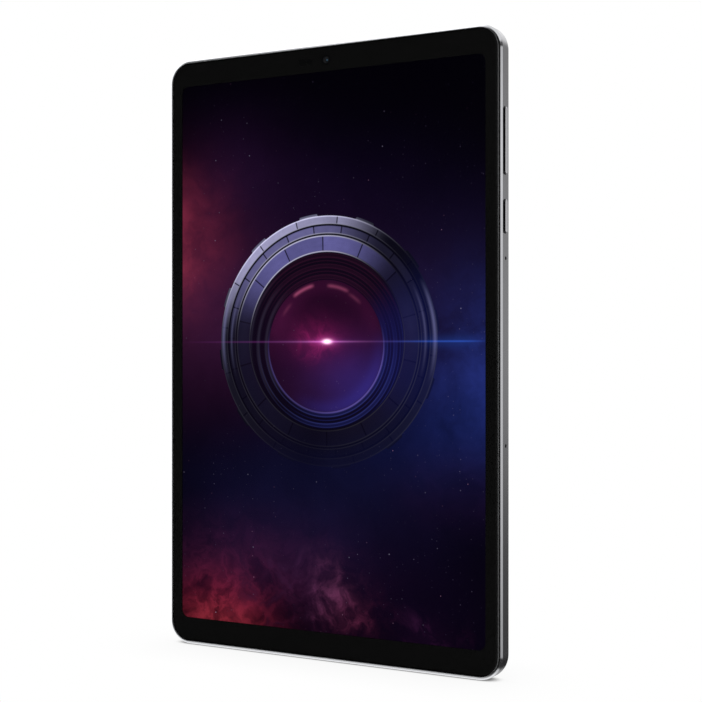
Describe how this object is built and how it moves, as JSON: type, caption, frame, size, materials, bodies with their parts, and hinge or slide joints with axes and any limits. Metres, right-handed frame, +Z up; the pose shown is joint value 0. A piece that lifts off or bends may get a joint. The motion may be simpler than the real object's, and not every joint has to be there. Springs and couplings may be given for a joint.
{
  "type": "tablet computer",
  "caption": "Slim upright tablet with a flat glass front, a rounded metal body, a key pair on one side, a camera deck on the back, and its inside parts.",
  "frame": {"origin": "middle of the bottom edge, at mid width and mid thickness of the body", "axes": "+Z up along the long side, the screen faces -Y, +X is to the right as the screen is looked at and carries the keys"},
  "size_m": [0.1301, 0.0092, 0.2085],
  "materials": {
    "housing_aluminium": "bead blasted and anodised, with a polished front chamfer",
    "key_aluminium": "bead blasted and anodised",
    "cover_glass": "polished",
    "black_plastic": "fine matt",
    "black_ink": "printed",
    "display_panel": "polished",
    "white_film": "satin",
    "clear_acrylic": "polished",
    "stainless_steel": "satin",
    "circuit_board": "solder mask over glass laminate",
    "chip_resin": "moulded",
    "polyimide": "film",
    "battery_wrap": "laminated foil pouch",
    "graphite": "pressed sheet",
    "silicone_rubber": "moulded",
    "thermal_putty": "soft",
    "gold_contacts": "plated",
    "lens_glass": "polished",
    "adhesive_foam": "foam"
  },
  "bodies": {
    "chassis": {"rear_housing": "housing_aluminium", "camera_deck": "housing_aluminium", "mid_frame": "black_plastic", "cover_glass": "cover_glass", "border_print": "black_ink", "glass_gasket": "adhesive_foam", "lcd_panel": "display_panel", "diffuser_films": "white_film", "light_guide": "clear_acrylic", "backlight_led_bar": "white_film", "reflector_film": "white_film", "backlight_tray": "stainless_steel", "display_flex": "polyimide", "graphite_sheet": "graphite", "battery_cell_left": "battery_wrap", "battery_cell_right": "battery_wrap", "battery_protection_board": "circuit_board", "battery_flex": "polyimide", "mainboard": "circuit_board", "processor_package": "chip_resin", "storage_package": "chip_resin", "processor_shield": "stainless_steel", "radio_shield": "stainless_steel", "thermal_pad": "thermal_putty", "sub_board": "circuit_board", "usb_c_shell": "stainless_steel", "usb_c_tongue": "black_plastic", "board_link_flex": "polyimide", "speaker_top_module": "black_plastic", "speaker_bottom_module": "black_plastic", "haptic_housing": "stainless_steel", "front_camera": "black_plastic", "light_sensor": "chip_resin", "rear_camera_module": "black_plastic", "second_camera": "black_plastic", "main_lens_window": "lens_glass", "second_lens_window": "lens_glass", "flash_lens": "clear_acrylic", "microphone_upper": "gold_contacts", "microphone_lower": "gold_contacts", "volume_up_dome": "stainless_steel", "volume_down_dome": "stainless_steel", "power_dome": "stainless_steel", "side_key_flex": "polyimide", "side_key_bracket": "stainless_steel", "card_reader": "stainless_steel", "mainboard_screw_left": "stainless_steel", "mainboard_screw_right": "stainless_steel", "sub_board_screw": "stainless_steel", "bracket_screw": "stainless_steel"},
    "power_key": {"power_button": "key_aluminium"},
    "volume_key": {"volume_rocker": "key_aluminium"},
    "tray": {"card_tray": "key_aluminium", "tray_seal": "silicone_rubber"},
    "ejector_slider": {"eject_rod": "stainless_steel"},
    "ejector_arm": {"eject_lever": "stainless_steel"},
    "upper_speaker_cone": {"speaker_top_diaphragm": "black_plastic"},
    "lower_speaker_cone": {"speaker_bottom_diaphragm": "black_plastic"},
    "haptic_weight": {"haptic_mass": "stainless_steel"},
    "focus_barrel": {"rear_camera_lens": "lens_glass"}
  },
  "joints": [
    {"name": "power_button_press", "type": "slide", "parent": "chassis", "child": "power_key", "axis": [-1, 0, 0], "range_m": [0, 0.0003], "deforming": ["power_dome"]},
    {"name": "volume_rocker_tilt", "type": "hinge", "parent": "chassis", "child": "volume_key", "pos_m": [0.0628, -0.00085, 0.17115], "axis": [0, 1, 0], "range_deg": [-1.8, 1.8], "deforming": ["volume_up_dome", "volume_down_dome"]},
    {"name": "card_tray_slide", "type": "slide", "parent": "chassis", "child": "tray", "axis": [-1, 0, 0], "range_m": [0, 0.02]},
    {"name": "eject_rod_push", "type": "slide", "parent": "chassis", "child": "ejector_slider", "axis": [1, 0, 0], "range_m": [0, 0.001]},
    {"name": "eject_lever_swing", "type": "hinge", "parent": "chassis", "child": "ejector_arm", "pos_m": [-0.0419, 0.0007, 0.1714], "axis": [0, 1, 0], "range_deg": [0, 26.4]},
    {"name": "upper_speaker_travel", "type": "slide", "parent": "chassis", "child": "upper_speaker_cone", "axis": [0, 1, 0], "range_m": [-0.00025, 0.00025]},
    {"name": "lower_speaker_travel", "type": "slide", "parent": "chassis", "child": "lower_speaker_cone", "axis": [0, 1, 0], "range_m": [-0.00025, 0.00025]},
    {"name": "haptic_travel", "type": "slide", "parent": "chassis", "child": "haptic_weight", "axis": [1, 0, 0], "range_m": [-0.001, 0.001]},
    {"name": "focus_travel", "type": "slide", "parent": "chassis", "child": "focus_barrel", "axis": [0, 1, 0], "range_m": [0, 0.0003]}
  ],
  "couplings": [
    {"joint": "eject_lever_swing", "follows": "eject_rod_push", "rad_per_m": 460}
  ]
}
